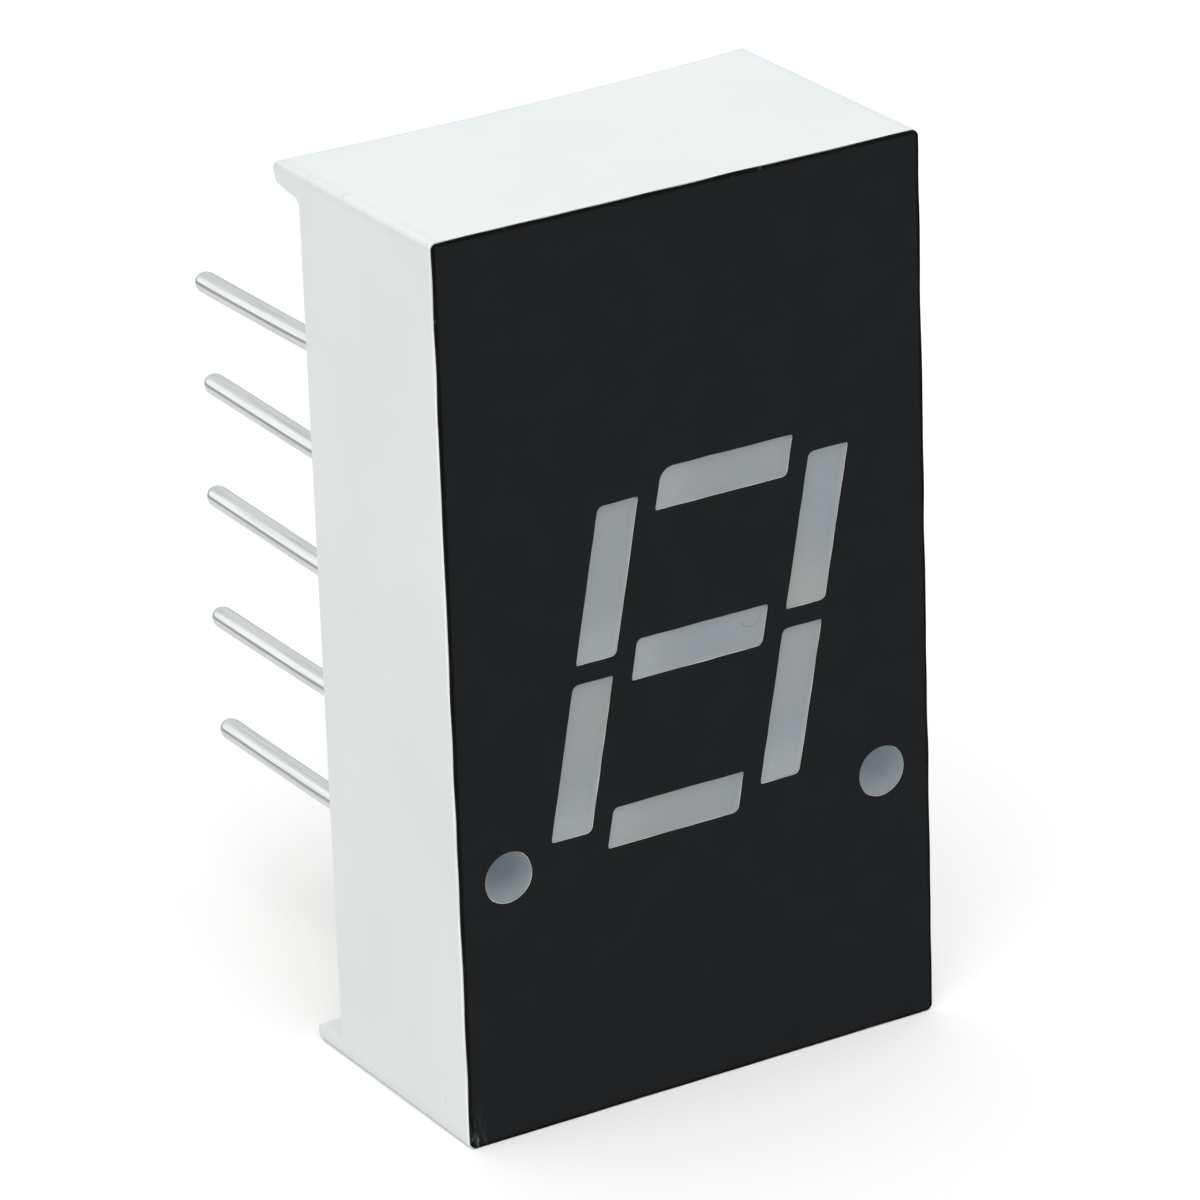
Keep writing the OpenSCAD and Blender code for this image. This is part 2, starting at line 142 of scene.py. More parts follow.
def mouldedPolycarbonate():
    w = whiteWall
    finish, tree, shader, place = startFinish("whitePolycarbonateMoulded", Roughness=w["roughness"],
                                              IOR=1.585)
    cloud = addNode(tree, "ShaderNodeTexNoise", None, {"Scale": perMetre(w["cloudMm"]), "Detail": 3.0},
                    {"Vector": place})
    drawn = addNode(tree, "ShaderNodeMapping", inputs={"Scale": (1, 1, w["flowSqueeze"])},
                    links={"Vector": place})
    flow = addNode(tree, "ShaderNodeTexNoise", None, {"Scale": perMetre(w["flowMm"]), "Detail": 2.0},
                   {"Vector": drawn.outputs["Vector"]})
    both = addNode(tree, "ShaderNodeMix", None, {"Factor": w["flowShare"]},
                   {"A": cloud.outputs["Fac"], "B": flow.outputs["Fac"]})
    ramp = addNode(tree, "ShaderNodeMapRange", None, {"From Min": w["cloudFrom"], "From Max": w["cloudTo"]},
                   {"Value": both.outputs["Result"]})
    tint = addNode(tree, "ShaderNodeMix", {"data_type": "RGBA"},
                   {6: linearColour(w["cloudDark"]), 7: linearColour(w["cloudLight"])},
                   {0: ramp.outputs["Result"]})
    # a few dust specks moulded into the skin
    cell = addNode(tree, "ShaderNodeTexVoronoi", None, {"Scale": perMetre(w["speckMm"])}, {"Vector": place})
    dot = addNode(tree, "ShaderNodeMapRange", None,
                  {"From Min": w["speckRadius"], "From Max": w["speckFadeRadius"], "To Min": 1.0,
                   "To Max": 0.0},
                  {"Value": cell.outputs["Distance"]})
    specked = addNode(tree, "ShaderNodeMix", {"data_type": "RGBA"}, {7: linearColour(w["speckColour"])},
                      {0: dot.outputs["Result"], 6: tint.outputs[2]})
    # a little grime rubbed into the long edges
    across, up = fromSides(tree, place)
    toEdge = addNode(tree, "ShaderNodeCombineXYZ", links={"X": across, "Z": up})
    reach = addNode(tree, "ShaderNodeVectorMath", {"operation": "LENGTH"}, None, {0: toEdge.outputs[0]})
    close = addNode(tree, "ShaderNodeMapRange", None,
                    {"From Min": 0.0, "From Max": w["grimeReachMm"] * mm, "To Min": w["grimeShare"],
                     "To Max": 0.0},
                    {"Value": reach.outputs["Value"]})
    dirt = addNode(tree, "ShaderNodeTexNoise", None, {"Scale": perMetre(w["grimeMm"]), "Detail": 1.0},
                   {"Vector": place})
    spots = addNode(tree, "ShaderNodeMapRange", None,
                    {"From Min": w["grimeFrom"], "From Max": w["grimeTo"], "To Min": w["grimeEven"]},
                    {"Value": dirt.outputs["Fac"]})
    grime = addNode(tree, "ShaderNodeMath", {"operation": "MULTIPLY"}, None,
                    {0: close.outputs[0], 1: spots.outputs[0]})
    grimed = addNode(tree, "ShaderNodeMix", {"data_type": "RGBA"}, {7: linearColour(w["grimeColour"])},
                     {0: grime.outputs[0], 6: specked.outputs[2]})
    # the painted highlight along the front edge, fading in and out along its length and faint on the top
    part = addNode(tree, "ShaderNodeSeparateXYZ", links={"Vector": place})
    edge = facePlane + w["highlightMm"] * mm
    front = addNode(tree, "ShaderNodeMapRange", None,
                    {"From Min": edge, "From Max": edge + w["highlightFadeMm"] * mm, "To Min": 1.0, "To Max": 0.0},
                    {"Value": part.outputs["Y"]})
    uneven = addNode(tree, "ShaderNodeTexNoise", None, {"Scale": perMetre(w["highlightUnevenMm"]), "Detail": 1.0},
                     {"Vector": place})
    highlightFading = addNode(tree, "ShaderNodeMapRange", None,
                     {"From Min": w["highlightUnevenFrom"], "From Max": w["highlightUnevenTo"], "To Min": w["highlightLeast"]},
                     {"Value": uneven.outputs["Fac"]})
    below = halfHeight - w["highlightMm"] * mm
    highlightOnTop = addNode(tree, "ShaderNodeMapRange", None,
                    {"From Min": below, "From Max": below + w["highlightFadeMm"] * mm, "To Min": 1.0,
                     "To Max": w["highlightTopShare"]},
                    {"Value": part.outputs["Z"]})
    along = addNode(tree, "ShaderNodeMath", {"operation": "MULTIPLY"}, None,
                    {0: front.outputs[0], 1: highlightFading.outputs[0]})
    lit = addNode(tree, "ShaderNodeMath", {"operation": "MULTIPLY"}, None,
                  {0: along.outputs[0], 1: highlightOnTop.outputs[0]})
    highlighted = addNode(tree, "ShaderNodeMix", {"data_type": "RGBA"}, {7: linearColour(w["paintedHighlightColour"])},
                    {0: lit.outputs[0], 6: grimed.outputs[2]})
    tree.links.new(highlighted.outputs[2], shader.inputs["Base Color"])
    grainSurface(tree, shader, place, w["grainMm"], w["grainDepthMm"])
    return finish


# Matt black ink, screen printed over the whole face: nearly lightless, with a faint pigment mottle,
# a deeper black bead along its outline, pale nicks where that outline was knocked, and a scuff in
# one corner
blackFace = {
    "pigmentDark": "#191A1D", "pigmentLight": "#1E2022", "mottleMm": 0.9,
    "nickColour": "#4C5154", "nickMm": 0.34, "nickReachMm": 0.09, "nickFrom": 0.66, "nickTo": 0.72,
    "beadColour": "#060708", "beadMm": 0.05, "beadFadeMm": 0.05,
    "scuffInsetMm": (0.15, 0.1), "scuffGrainMm": 0.1, "scuffSqueeze": 0.3, "scuffFrom": 0.47, "scuffTo": 0.6,
    "scuffCore": 0.2,
    # a pale rub at the very corner and faint upright scrapes above it: colour, reach in millimetres,
    # squeeze along Z, strength
    "scuffs": (("#66727A", 0.24, 1.0, 0.8), ("#363C40", 0.3, 0.3, 0.5)),
    "grainMm": 0.07, "grainDepthMm": 0.002, "roughness": 0.6, "gloss": 0.08,
}


def printedInk():
    b = blackFace
    finish, tree, shader, place = startFinish("blackInkScreenPrinted", Roughness=b["roughness"],
                                              Specular_IOR_Level=b["gloss"])
    tint = driftTint(tree, place, b["mottleMm"], b["pigmentDark"], b["pigmentLight"], detail=4.0)[0]
    across, up = fromSides(tree, place)
    fromEdge = addNode(tree, "ShaderNodeMath", {"operation": "MINIMUM"}, None, {0: across, 1: up})
    bead = addNode(tree, "ShaderNodeMapRange", None,
                   {"From Min": b["beadMm"] * mm, "From Max": (b["beadMm"] + b["beadFadeMm"]) * mm,
                    "To Min": 1.0, "To Max": 0.0},
                   {"Value": fromEdge.outputs[0]})
    rimmed = addNode(tree, "ShaderNodeMix", {"data_type": "RGBA"}, {7: linearColour(b["beadColour"])},
                     {0: bead.outputs[0], 6: tint})
    near = addNode(tree, "ShaderNodeMapRange", None,
                   {"From Min": 0.0, "From Max": b["nickReachMm"] * mm, "To Min": 1.0, "To Max": 0.0},
                   {"Value": fromEdge.outputs[0]})
    chips = addNode(tree, "ShaderNodeTexNoise", None, {"Scale": perMetre(b["nickMm"]), "Detail": 2.0},
                    {"Vector": place})
    some = addNode(tree, "ShaderNodeMapRange", None, {"From Min": b["nickFrom"], "From Max": b["nickTo"]},
                   {"Value": chips.outputs["Fac"]})
    nick = addNode(tree, "ShaderNodeMath", {"operation": "MULTIPLY"}, None,
                   {0: near.outputs[0], 1: some.outputs[0]})
    worn = addNode(tree, "ShaderNodeMix", {"data_type": "RGBA"}, {7: linearColour(b["nickColour"])},
                   {0: nick.outputs[0], 6: rimmed.outputs[2]})
    # the scuffed corner, low on the left
    inX, inZ = b["scuffInsetMm"]
    corner = (-halfWidth + inX * mm, facePlane, -halfHeight + inZ * mm)
    offset = addNode(tree, "ShaderNodeVectorMath", {"operation": "SUBTRACT"}, {1: corner}, {0: place})
    drawn = addNode(tree, "ShaderNodeMapping", inputs={"Scale": (1, 1, b["scuffSqueeze"])},
                    links={"Vector": place})
    grit = addNode(tree, "ShaderNodeTexNoise", None, {"Scale": perMetre(b["scuffGrainMm"]), "Detail": 3.0},
                   {"Vector": drawn.outputs["Vector"]})
    broken = addNode(tree, "ShaderNodeMapRange", None, {"From Min": b["scuffFrom"], "From Max": b["scuffTo"]},
                     {"Value": grit.outputs["Fac"]})
    scuffed = worn
    for colour, reachMm, squeeze, strength in reversed(b["scuffs"]):
        squeezed = addNode(tree, "ShaderNodeMapping", inputs={"Scale": (1, 1, squeeze)},
                           links={"Vector": offset.outputs[0]})
        away = addNode(tree, "ShaderNodeVectorMath", {"operation": "LENGTH"}, None,
                       {0: squeezed.outputs["Vector"]})
        patch = addNode(tree, "ShaderNodeMapRange", None,
                        {"From Min": reachMm * b["scuffCore"] * mm, "From Max": reachMm * mm,
                         "To Min": strength, "To Max": 0.0},
                        {"Value": away.outputs["Value"]})
        scuff = addNode(tree, "ShaderNodeMath", {"operation": "MULTIPLY"}, None,
                        {0: patch.outputs[0], 1: broken.outputs[0]})
        scuffed = addNode(tree, "ShaderNodeMix", {"data_type": "RGBA"}, {7: linearColour(colour)},
                          {0: scuff.outputs[0], 6: scuffed.outputs[2]})
    tree.links.new(scuffed.outputs[2], shader.inputs["Base Color"])
    grainSurface(tree, shader, place, b["grainMm"], b["grainDepthMm"], strength=0.4)
    return finish


# Epoxy with a diffusing powder, cast in the windows: milky grey and smooth, with painted light from its
# white walls paling it near the rim, paler at a bar's foot, with slow drifts where the powder settled, and
# one hair scratch
milkyBar = {
    "middle": "#92999D", "pale": "#A9AEB0", "powderMm": 0.12, "powderShare": 0.3,
    "warmth": "#A09F9D", "driftMm": 2.2, "warmFrom": 0.4, "warmTo": 0.7, "warmShare": 0.5,
    # the rim's lift is painted light from the white walls
    "rimMm": 0.1, "paintedRimLight": 0.85, "footFrom": 0.2, "footLift": 0.6, "roughness": 0.42, "gloss": 0.3,
    "rippleMm": 0.5, "rippleDepthMm": 0.002,
    "scratchMm": (1.38, 0.24), "scratchRadiusMm": 0.24, "scratchWidthMm": 0.014, "scratchColour": "#73797C",
    # how far below its middle the ring shows in full, and where it has gone
    "scratchFullMm": 0.12, "scratchGoneMm": 0.04,
}


# Where a place lies in its window: across and up from -1 to 1, how near the foot, and its distance
# from the rim in millimetres
def windowPlace(tree):
    inWindow = addNode(tree, "ShaderNodeAttribute", {"attribute_name": "inWindow"})
    fromRim = addNode(tree, "ShaderNodeAttribute", {"attribute_name": "fromRim"})
    part = addNode(tree, "ShaderNodeSeparateXYZ", links={"Vector": inWindow.outputs["Vector"]})
    return part.outputs, fromRim.outputs["Fac"]


# The tint that the powder gives: deep, but with painted light paling it toward the rim, paler as far
# as the lift says, and a little uneven
def powderTint(tree, place, fromRim, e, deep, lift):
    rim = addNode(tree, "ShaderNodeMapRange", None,
                  {"From Min": 0.0, "From Max": e["rimMm"], "To Min": e["paintedRimLight"], "To Max": 0.0},
                  {"Value": fromRim})
    powder = addNode(tree, "ShaderNodeTexNoise", None, {"Scale": perMetre(e["powderMm"]), "Detail": 2.0},
                     {"Vector": place})
    uneven = addNode(tree, "ShaderNodeMath", {"operation": "MULTIPLY_ADD"},
                     {1: e["powderShare"], 2: -e["powderShare"] / 2}, {0: powder.outputs["Fac"]})
    paler = addNode(tree, "ShaderNodeMath", {"operation": "ADD"}, None, {0: rim.outputs[0], 1: lift})
    total = addNode(tree, "ShaderNodeMath", {"operation": "ADD", "use_clamp": True}, None,
                    {0: paler.outputs[0], 1: uneven.outputs[0]})
    tint = addNode(tree, "ShaderNodeMix", {"data_type": "RGBA"},
                   {6: linearColour(deep), 7: linearColour(e["pale"])}, {0: total.outputs[0]})
    return tint.outputs[2]


def castEpoxy():
    e = milkyBar
    finish, tree, shader, place = startFinish("milkyEpoxyCast", Roughness=e["roughness"],
                                              Specular_IOR_Level=e["gloss"], IOR=1.54)
    within, fromRim = windowPlace(tree)
    foot = addNode(tree, "ShaderNodeMapRange", {"interpolation_type": "SMOOTHSTEP"},
                   {"From Min": e["footFrom"], "From Max": 1.0, "To Max": e["footLift"]},
                   {"Value": within["Z"]})
    tint = powderTint(tree, place, fromRim, e, e["middle"], foot.outputs[0])
    drift = addNode(tree, "ShaderNodeTexNoise", None, {"Scale": perMetre(e["driftMm"]), "Detail": 1.0},
                    {"Vector": place})
    warm = addNode(tree, "ShaderNodeMapRange", None,
                   {"From Min": e["warmFrom"], "From Max": e["warmTo"], "To Max": e["warmShare"]},
                   {"Value": drift.outputs["Fac"]})
    drifted = addNode(tree, "ShaderNodeMix", {"data_type": "RGBA"}, {7: linearColour(e["warmth"])},
                      {0: warm.outputs[0], 6: tint})
    # the scratch is the lower part of a small ring
    part = addNode(tree, "ShaderNodeSeparateXYZ", links={"Vector": place})
    flat = addNode(tree, "ShaderNodeCombineXYZ", links={"X": part.outputs["X"], "Z": part.outputs["Z"]})
    centre = (e["scratchMm"][0] * mm, 0, e["scratchMm"][1] * mm)
    away = addNode(tree, "ShaderNodeVectorMath", {"operation": "DISTANCE"}, {1: centre}, {0: flat.outputs[0]})
    offRing = addNode(tree, "ShaderNodeMath", {"operation": "SUBTRACT"}, {1: e["scratchRadiusMm"] * mm},
                      {0: away.outputs["Value"]})
    line = addNode(tree, "ShaderNodeMath", {"operation": "ABSOLUTE"}, None, {0: offRing.outputs[0]})
    thin = addNode(tree, "ShaderNodeMapRange", None,
                   {"From Min": 0.0, "From Max": e["scratchWidthMm"] * mm, "To Min": 1.0, "To Max": 0.0},
                   {"Value": line.outputs[0]})
    low = addNode(tree, "ShaderNodeMapRange", None,
                  {"From Min": centre[2] - e["scratchFullMm"] * mm,
                   "From Max": centre[2] - e["scratchGoneMm"] * mm, "To Min": 1.0, "To Max": 0.0},
                  {"Value": part.outputs["Z"]})
    scratch = addNode(tree, "ShaderNodeMath", {"operation": "MULTIPLY"}, None,
                      {0: thin.outputs[0], 1: low.outputs[0]})
    marked = addNode(tree, "ShaderNodeMix", {"data_type": "RGBA"}, {7: linearColour(e["scratchColour"])},
                     {0: scratch.outputs[0], 6: drifted.outputs[2]})
    tree.links.new(marked.outputs[2], shader.inputs["Base Color"])
    grainSurface(tree, shader, place, e["rippleMm"], e["rippleDepthMm"], strength=0.4, detail=1.0)
    return finish


# The same epoxy in the narrow round cups of the points: painted blue-grey and darker for the shade in the
# deep cup, the right one a little paler, with a painted crescent of light low on the right, the lit white
# wall of the cup
milkyPoint = {
    "deep": {"point_left": "#616B74", "point_right": "#6A747C"}, "pale": "#8E9598",
    # where the painted shade sits, and how the painted crescent of light spreads from it
    "paintedShadeAt": (-0.25, 0.45), "acrossShare": 0.8, "paintedCrescentFrom": 0.35, "paintedCrescentTo": 1.45,
    "rimMm": 0.1, "paintedRimLight": 0.42,
    "powderMm": 0.12, "powderShare": 0.25, "roughness": 0.42, "gloss": 0.3,
}


def castPointEpoxy(name, deep):
    p = milkyPoint
    finish, tree, shader, place = startFinish(name, Roughness=p["roughness"],
                                              Specular_IOR_Level=p["gloss"], IOR=1.54)
    within, fromRim = windowPlace(tree)
    flat = addNode(tree, "ShaderNodeCombineXYZ", links={"X": within["X"], "Y": within["Y"]})
    # painted shade up and to the left, paling to a painted crescent of light low on the right
    offset = addNode(tree, "ShaderNodeVectorMath", {"operation": "SUBTRACT"}, {1: (*p["paintedShadeAt"], 0)},
                     {0: flat.outputs[0]})
    squeezed = addNode(tree, "ShaderNodeVectorMath", {"operation": "MULTIPLY"}, {1: (p["acrossShare"], 1, 1)},
                       {0: offset.outputs[0]})
    away = addNode(tree, "ShaderNodeVectorMath", {"operation": "LENGTH"}, None, {0: squeezed.outputs[0]})
    edge = addNode(tree, "ShaderNodeMapRange", None,
                   {"From Min": p["paintedCrescentFrom"], "From Max": p["paintedCrescentTo"]},
                   {"Value": away.outputs["Value"]})
    tint = powderTint(tree, place, fromRim, p, deep, edge.outputs[0])
    tree.links.new(tint, shader.inputs["Base Color"])
    return finish


# Drawn wire with a hot tin coat: bright silver-grey, soft along its length, with fine draw lines
# and slow warm and cool drifts
tinnedPin = {
    "cool": "#F2F6F8", "warm": "#F7F6F1", "driftMm": 1.4,
    "lineMm": 0.06, "lineDepthMm": 0.0012, "lineSqueeze": 0.03,
    "streak": "#D6DADD", "streakFrom": 0.45, "streakTo": 0.7, "streakShare": 0.6,
    "roughFrom": 0.08, "roughTo": 0.2,
}


def tinnedWire():
    t = tinnedPin
    finish, tree, shader, place = startFinish("tinnedWireDrawn", Metallic=1.0)
    tint = driftTint(tree, place, t["driftMm"], t["cool"], t["warm"])[0]
    long = addNode(tree, "ShaderNodeMapping", inputs={"Scale": (1, t["lineSqueeze"], 1)},
                   links={"Vector": place})
    drawn = addNode(tree, "ShaderNodeTexNoise", None, {"Scale": perMetre(t["lineMm"]), "Detail": 2.0},
                    {"Vector": long.outputs["Vector"]})
    streak = addNode(tree, "ShaderNodeMapRange", None,
                     {"From Min": t["streakFrom"], "From Max": t["streakTo"], "To Max": t["streakShare"]},
                     {"Value": drawn.outputs["Fac"]})
    streaked = addNode(tree, "ShaderNodeMix", {"data_type": "RGBA"}, {7: linearColour(t["streak"])},
                       {0: streak.outputs[0], 6: tint})
    tree.links.new(streaked.outputs[2], shader.inputs["Base Color"])
    rough = addNode(tree, "ShaderNodeMapRange", None, {"To Min": t["roughFrom"], "To Max": t["roughTo"]},
                    {"Value": drawn.outputs["Fac"]})
    tree.links.new(rough.outputs[0], shader.inputs["Roughness"])
    bump = addNode(tree, "ShaderNodeBump", None, {"Strength": 0.5, "Distance": t["lineDepthMm"] * mm},
                   {"Height": drawn.outputs["Fac"]})
    tree.links.new(bump.outputs["Normal"], shader.inputs["Normal"])
    return finish


# Finishes of the pieces inside, each with its own fine unevenness. A row holds two colours, the drift
# in millimetres, roughness, metallic share and how the names of its CAD nodes start
innerDepthMm = 0.002
innerFinishes = {
    # tin-silver solder, melted: bright with slightly dull patches
    "solderMelted": ("#B4B7B9", "#C8CACB", 0.25, 0.22, 1.0, ["solder_"]),
    # etched copper foil: satin, faintly darker where it was scrubbed
    "copperEtched": ("#B9734C", "#CC8A62", 0.3, 0.36, 1.0, ["board_copper"]),
    # sawn and metallised semiconductor: dull amber with gold specks
    "semiconductorSawn": ("#7E6431", "#A8894A", 0.05, 0.3, 0.4, ["chip_"]),
    # drawn gold wire: smooth and warm
    "goldWireDrawn": ("#D9A441", "#E8BC62", 0.08, 0.2, 1.0, ["wire_"]),
}


def innerFinish(name, dark, light, driftMm, roughness, metal):
    finish, tree, shader, place = startFinish(name, Roughness=roughness, Metallic=metal)
    tint, drift = driftTint(tree, place, driftMm, dark, light, detail=3.0)
    tree.links.new(tint, shader.inputs["Base Color"])
    bump = addNode(tree, "ShaderNodeBump", None, {"Strength": 0.3, "Distance": innerDepthMm * mm},
                   {"Height": drift})
    tree.links.new(bump.outputs["Normal"], shader.inputs["Normal"])
    return finish


# Pressed glass cloth in epoxy, the bare circuit board: pale straw green with a crossed weave. Its yarns
# lie 0.5 mm apart, and are drawn 3.14 mm apart to show through the potting
wovenBoard = {"yarn": "#E6E2C4", "gap": "#D2CEAA", "yarnMm": 3.14, "roughness": 0.38, "weaveDepthMm": 0.004}
waveTurn = 20                  # a wave texture turns by this many radians in each unit of length


def wovenGlass():
    b = wovenBoard
    finish, tree, shader, place = startFinish("glassEpoxyWoven", Roughness=b["roughness"])
    scale = perMetre(b["yarnMm"]) * math.tau / waveTurn
    yarns = [addNode(tree, "ShaderNodeTexWave", {"bands_direction": axis, "wave_profile": "SIN"},
                     {"Scale": scale, "Distortion": 0.4, "Detail": 1.0}, {"Vector": place})
             for axis in ("X", "Z")]
    weave = addNode(tree, "ShaderNodeMath", {"operation": "MULTIPLY"}, None,
                    {0: yarns[0].outputs["Fac"], 1: yarns[1].outputs["Fac"]})
    tint = addNode(tree, "ShaderNodeMix", {"data_type": "RGBA"},
                   {6: linearColour(b["gap"]), 7: linearColour(b["yarn"])}, {0: weave.outputs[0]})
    tree.links.new(tint.outputs[2], shader.inputs["Base Color"])
    bump = addNode(tree, "ShaderNodeBump", None, {"Strength": 0.4, "Distance": b["weaveDepthMm"] * mm},
                   {"Height": weave.outputs[0]})
    tree.links.new(bump.outputs["Normal"], shader.inputs["Normal"])
    return finish


# Poured potting resin: clear, faintly straw coloured and glossy, so that the board and the solder
# joints show through it from behind
potting = {"clear": "#E2E4DC", "cloudy": "#ECEDE6", "cloudMm": 2.2, "roughness": 0.14, "cover": 0.22,
           "waveMm": 1.8, "waveDepthMm": 0.02}


def pouredResin():
    p = potting
    finish, tree, shader, place = startFinish("clearResinPoured", Roughness=p["roughness"], IOR=1.52,
                                              Alpha=p["cover"])
    tint = driftTint(tree, place, p["cloudMm"], p["clear"], p["cloudy"])[0]
    tree.links.new(tint, shader.inputs["Base Color"])
    grainSurface(tree, shader, place, p["waveMm"], p["waveDepthMm"], detail=0.0)
    return finish


whitePlastic = mouldedPolycarbonate()
blackInk = printedInk()
barEpoxy = castEpoxy()
pointEpoxy = {name: castPointEpoxy("milkyEpoxyCastDeep" + name.removeprefix("point_").capitalize(), deep)
              for name, deep in milkyPoint["deep"].items()}
pinTin = tinnedWire()
boardGlass = wovenGlass()
clearResin = pouredResin()
print("finishes made")


# A CAD node's mesh with its loose triangles joined and its flat faces made whole
def wholeShape(nodeName):
    shape = bmesh.new()
    shape.from_mesh(cadNodes[nodeName].data)
    bmesh.ops.remove_doubles(shape, verts=shape.verts, dist=weld)
    bmesh.ops.dissolve_limit(shape, angle_limit=math.radians(flatDegrees), verts=shape.verts,
                             edges=shape.edges)
    return shape


def asPiece(shape, name, finish, replaced, smoothUnder=32):
    mesh = bpy.data.meshes.new(name)
    bmesh.ops.remove_doubles(shape, verts=shape.verts, dist=sliver)
    shape.normal_update()
    shape.to_mesh(mesh)
    shape.free()
    mesh.set_sharp_from_angle(angle=math.radians(smoothUnder))
    # faces square to an axis stay flat, so that their rounded edges don't bend the light across them
    rounded = [max(map(abs, face.normal)) < squareShare for face in mesh.polygons]
    mesh.polygons.foreach_set("use_smooth", rounded)
    mesh.materials.append(finish)
    piece = bpy.data.objects.new(name, mesh)
    scene.collection.objects.link(piece)
    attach(piece, "root")
    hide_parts(*replaced)
    return piece


def sharpEdges(shape, overDegrees, wanted):
    return [e for e in shape.edges
            if len(e.link_faces) == 2 and e.calc_face_angle() > math.radians(overDegrees)
            and all(wanted(v.co) for v in e.verts)]


def roundOff(shape, edges, radiusMm, rounds):
    bmesh.ops.bevel(shape, geom=edges, offset=radiusMm * mm, segments=rounds, profile=0.5, affect="EDGES",
                    clamp_overlap=True)


# The housing, with the small radius that a mould leaves on every outer edge and a fillet where each
# end rail meets the walls. The rails differ a little: the upper one is thicker, its back leans, and
# it warped as it cooled, so that its ends stand further back than its middle, the right one most
housingEdge = {
    "radiusMm": 0.04, "footRadiusMm": 0.015, "topRadiusMm": 0.12, "rounds": 3, "topRounds": 5,
    # what turns by more than this is an edge, and what lies this near to a side belongs to the outside
    "overDegrees": 40, "skinMm": 0.3,
}
endRails = {
    "filletMm": 0.1,
    # a rail's inner corners lie this far off the pocket, and those at its tip this near to it
    "offPocketMm": 0.1, "tipWithinMm": 0.01,
    # shifts of a rail's inner edges at its tip and at its root, as (back, up)
    "upper": {"tipMm": (-0.1, -0.02), "rootMm": (0, -0.08)},
    "lower": {"tipMm": (-0.03, -0.1), "rootMm": (0, -0.12)},
    # the upper rail's bow: its depth over half the width, where its middle is, and how that one stands
    "warpMm": 0.25, "warpMiddleMm": -2.0, "middleMm": -0.085, "warpCuts": 15,
}


def makeHousing():
    shape = wholeShape("reflector_housing")
    skin = housingEdge["skinMm"] * mm
    roots = []
    for vert in shape.verts:
        inner = pocketHalf + endRails["offPocketMm"] * mm < abs(vert.co.z) < halfHeight - skin
        if vert.co.y > backPlane and inner:
            rail = endRails["upper" if vert.co.z > 0 else "lower"]
            atTip = vert.co.y > bodyHigh.y - endRails["tipWithinMm"] * mm
            back, up = rail["tipMm" if atTip else "rootMm"]
            vert.co += Vector((0, back, up)) * mm
            if not atTip:
                roots.append(vert)
    joints = [e for e in shape.edges if all(v in roots for v in e.verts)
              and abs(e.verts[0].co.z - e.verts[1].co.z) < hair]
    roundOff(shape, joints, endRails["filletMm"], housingEdge["rounds"])

    def outside(at):
        return abs(at.x) > halfWidth - skin or abs(at.z) > halfHeight - skin or at.y > backPlane

    def atTop(edge):
        ends = [v.co for v in edge.verts]
        return all(at.z > halfHeight - skin for at in ends) and any(at.y > facePlane + skin for at in ends)

    def onRail(at):
        return at.z > 0 and at.y > backPlane + hair

    top = [e for e in sharpEdges(shape, housingEdge["overDegrees"], outside) if atTop(e)]
    roundOff(shape, top, housingEdge["topRadiusMm"], housingEdge["topRounds"])
    edges = sharpEdges(shape, housingEdge["overDegrees"], outside)
    foot = [e for e in edges if all(v.co.z < -halfHeight + hair for v in e.verts)]
    for some, radius in (([e for e in edges if e not in foot], "radiusMm"), (foot, "footRadiusMm")):
        roundOff(shape, [e for e in some if e.is_valid], housingEdge[radius], housingEdge["rounds"])
    along = [e for e in shape.edges if all(onRail(v.co) for v in e.verts) and e.calc_length() > halfWidth]
    bmesh.ops.subdivide_edges(shape, edges=along, cuts=endRails["warpCuts"], use_grid_fill=True)
    for at in [v.co for v in shape.verts if onRail(v.co)]:
        fromMiddle = (at.x - endRails["warpMiddleMm"] * mm) / halfWidth
        back = endRails["warpMm"] * fromMiddle ** 2 + endRails["middleMm"]
        at.y += back * mm * (at.y - backPlane) / (bodyHigh.y - backPlane)
    return asPiece(shape, "housing", whitePlastic, ["reflector_housing"])


# The black layer: thick ink with a soft shoulder, whose outline stops just short of the housing's
# edge and wanders a little, as printed and trimmed outlines do, and which creeps in over each window
inkEdge = {
    "radiusMm": 0.014, "rounds": 2, "overDegrees": 60, "stepMm": 0.16, "seed": 1,
    "broadFrom": 0.5,      # a normal with at least this share along Y is that of a broad side
    "rimMm": 0.2, "wanderMm": 0.022, "wanderOverMm": 1.1, "shortMm": 0.018,
    "windowWanderMm": 0.01, "windowWanderOverMm": 0.45, "windowOverMm": 0.009,
}


